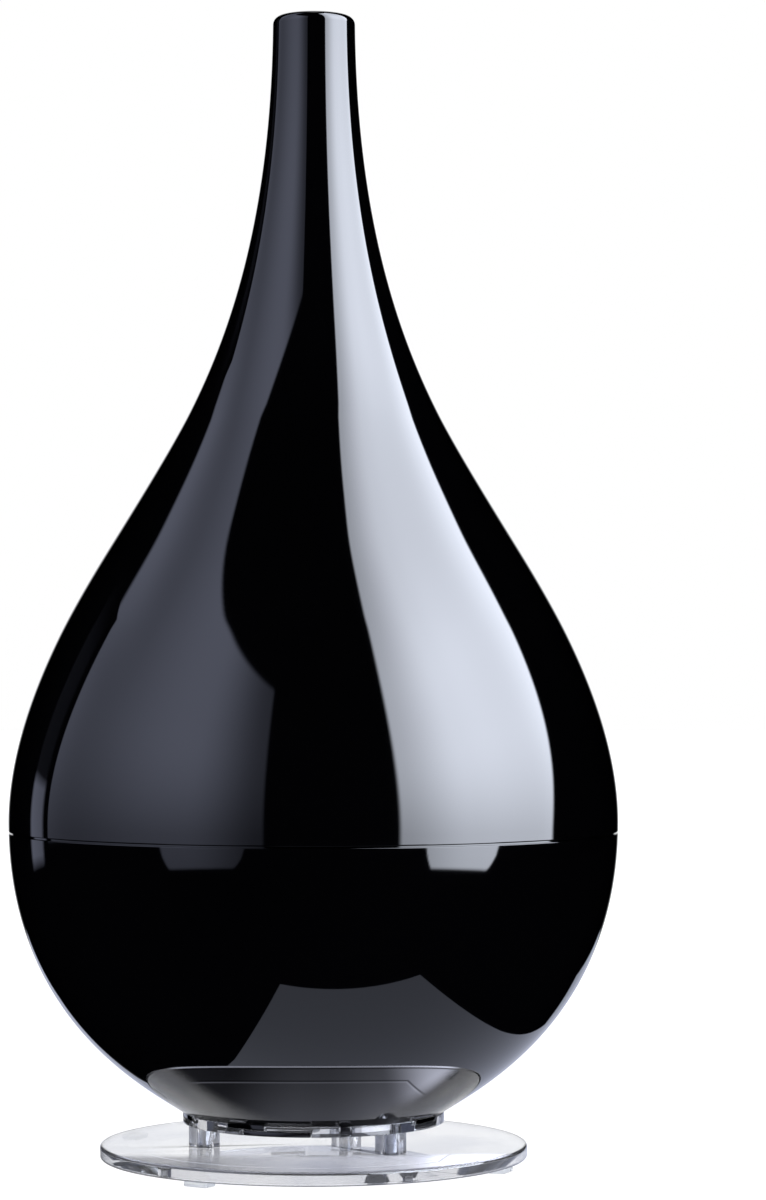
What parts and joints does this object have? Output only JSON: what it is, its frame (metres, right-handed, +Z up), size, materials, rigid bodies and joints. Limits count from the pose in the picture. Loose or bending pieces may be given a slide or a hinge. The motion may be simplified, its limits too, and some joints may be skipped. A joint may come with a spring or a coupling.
{
  "type": "cool mist humidifier",
  "caption": "Drop-shaped cool mist humidifier: a glossy water tank with a chimney neck lifts off a bowl-shaped base that stands on a clear disc.",
  "frame": {"origin": "on the table under the object's vertical axis, at the underside of the foot pads", "axes": "+Z up along the drop's axis, front with the receiver eye towards -Y, +X to the right of someone facing the front"},
  "size_m": [0.2654, 0.2654, 0.5],
  "materials": {
    "gloss_black": "deep gloss black moulding",
    "clear_acrylic": "polished clear acrylic",
    "clear_silicone": "frosted clear silicone",
    "smoked_lens": "dark smoked lens",
    "satin_black": "satin black moulding",
    "matt_black": "matt black moulding",
    "grey_plastic": "grey moulding",
    "white_plastic": "natural white moulding",
    "black_rubber": "soft black silicone rubber",
    "filter_foam": "open-cell foam",
    "screw_steel": "zinc-plated steel",
    "aluminium": "plain aluminium",
    "brass": "nickel-edged brass disc",
    "copper": "enamelled copper winding",
    "circuit_board": "green solder mask"
  },
  "bodies": {
    "base": {"base_bowl": "gloss_black", "bottom_cover": "matt_black", "cover_screw_1": "screw_steel", "cover_screw_2": "screw_steel", "cover_screw_3": "screw_steel", "intake_filter": "filter_foam", "fan_frame": "matt_black", "fan_coil": "copper", "air_duct": "satin_black", "water_basin": "satin_black", "basin_screw_1": "screw_steel", "basin_screw_2": "screw_steel", "basin_screw_3": "screw_steel", "transducer": "brass", "transducer_gasket": "black_rubber", "transducer_bracket": "aluminium", "bracket_screw_1": "screw_steel", "bracket_screw_2": "screw_steel", "driver_board": "circuit_board", "control_board": "circuit_board", "heat_sink": "aluminium", "choke_coil": "copper", "reservoir_capacitor": "satin_black", "transducer_lead": "satin_black", "fan_lead": "satin_black", "inlet_lead": "satin_black", "rear_panel": "satin_black", "dc_jack": "matt_black", "power_switch": "matt_black", "switch_board": "circuit_board", "board_screw": "screw_steel", "float_clip": "grey_plastic", "stand_disc": "clear_acrylic", "foot_pad_1": "clear_silicone", "foot_pad_2": "clear_silicone", "foot_pad_3": "clear_silicone", "foot_pad_4": "clear_silicone", "stand_post_1": "clear_acrylic", "stand_post_2": "clear_acrylic", "stand_post_3": "clear_acrylic", "stand_screw_1": "screw_steel", "stand_screw_2": "screw_steel", "stand_screw_3": "screw_steel", "stand_plate": "clear_acrylic", "control_strip": "smoked_lens", "ir_lens": "smoked_lens"},
    "tank": {"tank_shell": "gloss_black", "tank_floor": "satin_black", "tank_seal": "black_rubber", "mist_chimney": "satin_black", "chimney_seal": "black_rubber", "mist_nozzle": "satin_black"},
    "cap": {"tank_cap": "grey_plastic", "cap_seal": "black_rubber", "valve_spring": "screw_steel"},
    "valve": {"valve_plunger": "white_plastic", "valve_seal": "black_rubber"},
    "float": {"level_float": "white_plastic"},
    "fan": {"fan_rotor": "grey_plastic"},
    "button": {"power_button": "satin_black"}
  },
  "joints": [
    {"name": "tank_lift", "type": "slide", "parent": "base", "child": "tank", "axis": [0, 0, 1], "range_m": [0, 0.08]},
    {"name": "cap_turn", "type": "hinge", "parent": "tank", "child": "cap", "pos_m": [-0.06062, -0.035, 0.134], "axis": [0, 0, 1], "range_deg": [0, 360]},
    {"name": "valve_slide", "type": "slide", "parent": "cap", "child": "valve", "axis": [0, 0, 1], "range_m": [-0.004, 0], "deforming": ["valve_spring"]},
    {"name": "float_rise", "type": "slide", "parent": "base", "child": "float", "axis": [0, 0, 1], "range_m": [0, 0.01]},
    {"name": "fan_spin", "type": "hinge", "parent": "base", "child": "fan", "pos_m": [0, 0, 0.033], "axis": [0, 0, 1], "continuous": true},
    {"name": "button_press", "type": "slide", "parent": "base", "child": "button", "axis": [0, -0.8307, 0.5566], "range_m": [0, 0.001], "stiffness_N_per_m": 600, "springref_m": -0.0005}
  ],
  "couplings": [
    {"joint": "valve_slide", "follows": "tank_lift", "ratio": -0.05}
  ]
}
